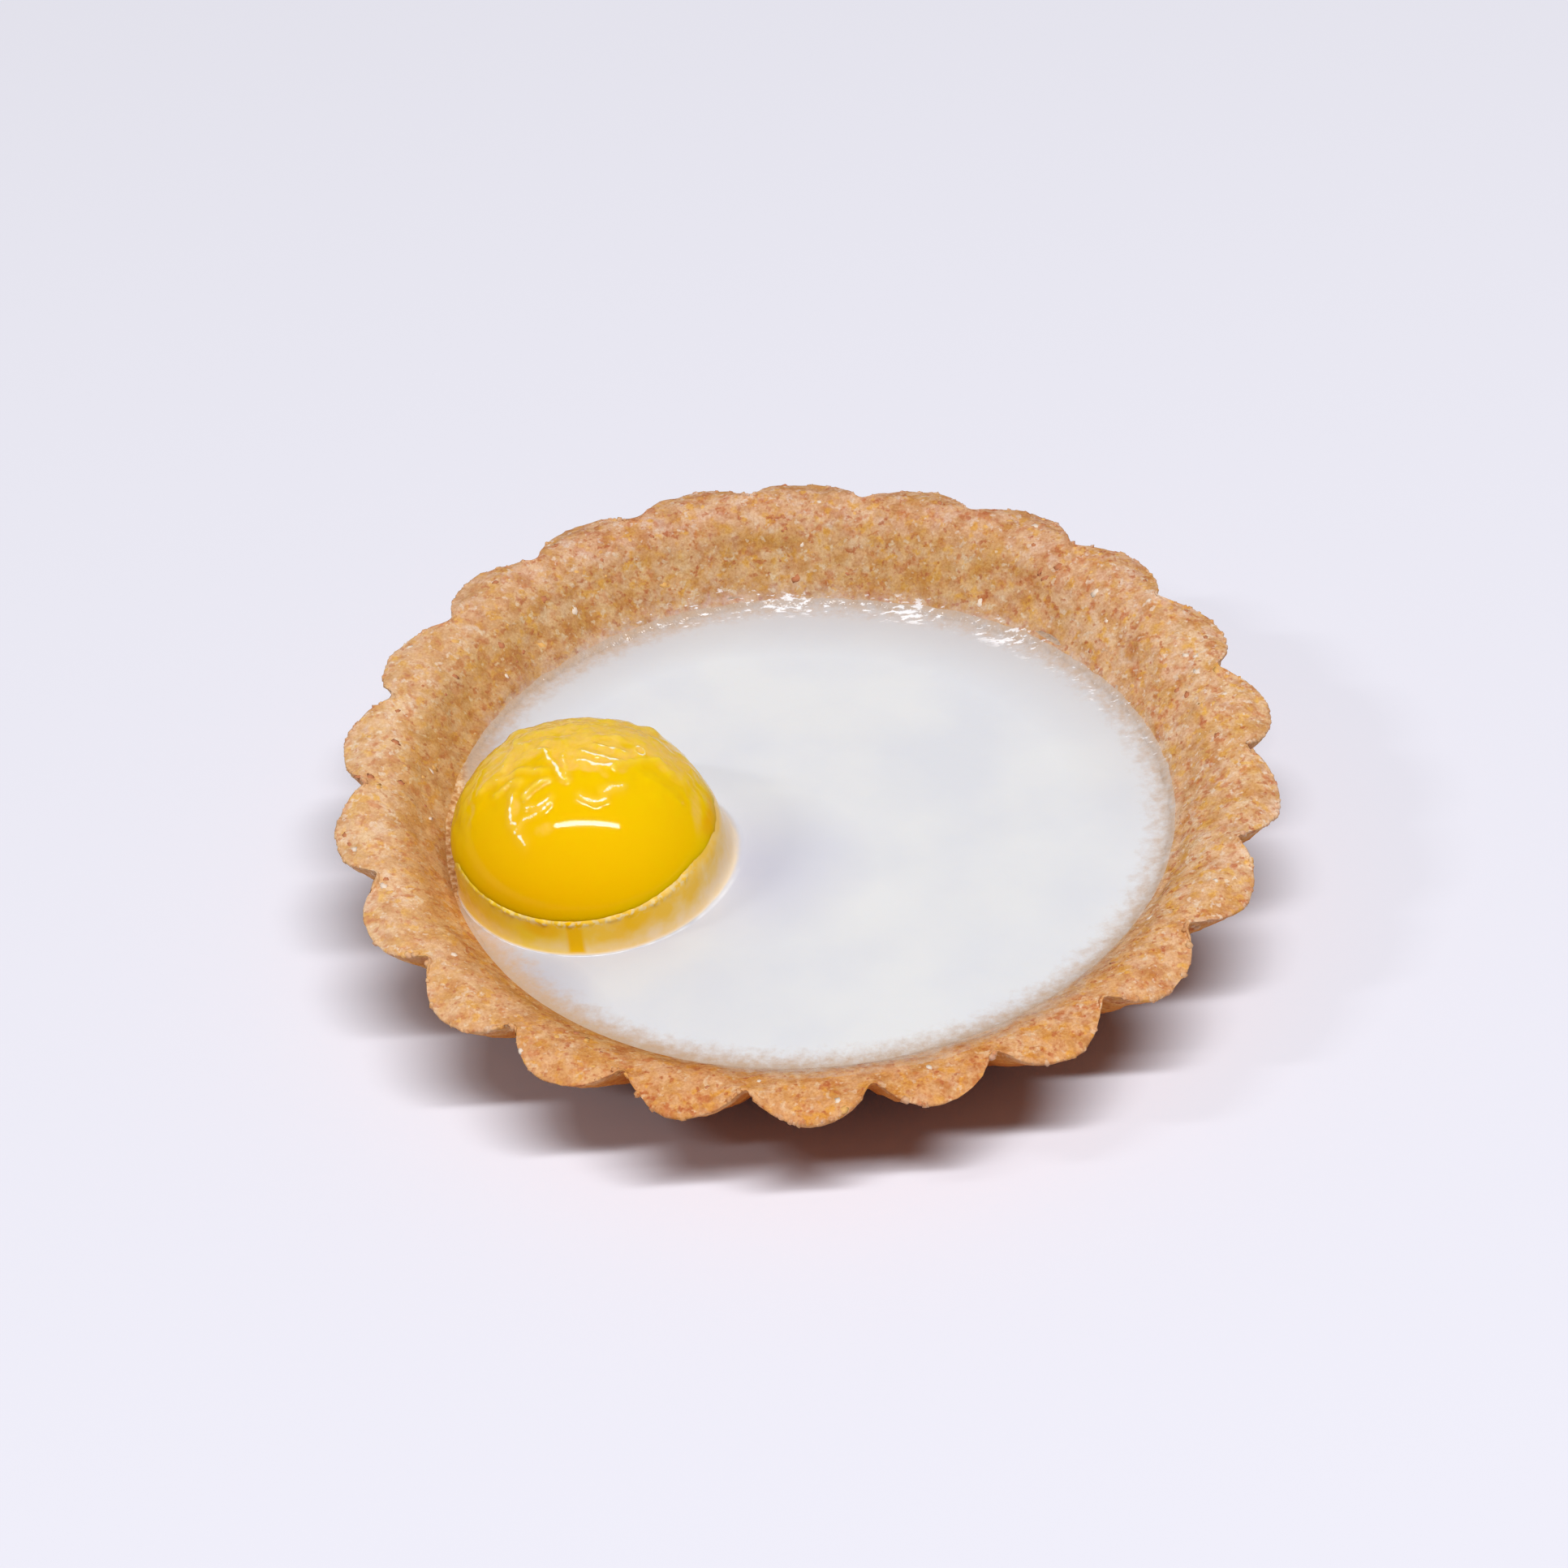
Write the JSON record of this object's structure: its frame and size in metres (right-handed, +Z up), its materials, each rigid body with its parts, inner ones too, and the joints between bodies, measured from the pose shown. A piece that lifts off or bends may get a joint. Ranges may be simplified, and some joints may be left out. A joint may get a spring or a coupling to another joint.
{
  "type": "quail egg tart",
  "caption": "Small fluted shortcrust tartlet, filled with set egg white, with one raised yolk beside the wall.",
  "frame": {"origin": "on the flat base that the tart stands on, under the middle of its outline", "axes": "+Z up; the yolk lies towards -X and a little towards -Y, and the rim is lowest at -Y"},
  "size_m": [0.07, 0.0693, 0.0188],
  "materials": {
    "shortcrust": "baked wholemeal shortcrust, dry and crumbly, golden tan with reddish and yellow specks",
    "set_white": "set egg white, moist and softly glossy",
    "egg_yolk": "soft egg yolk under its wrinkled skin, wet and glossy"
  },
  "bodies": {
    "root": {"crust": "shortcrust", "filling": "set_white", "yolk": "egg_yolk"}
  },
  "joints": []
}
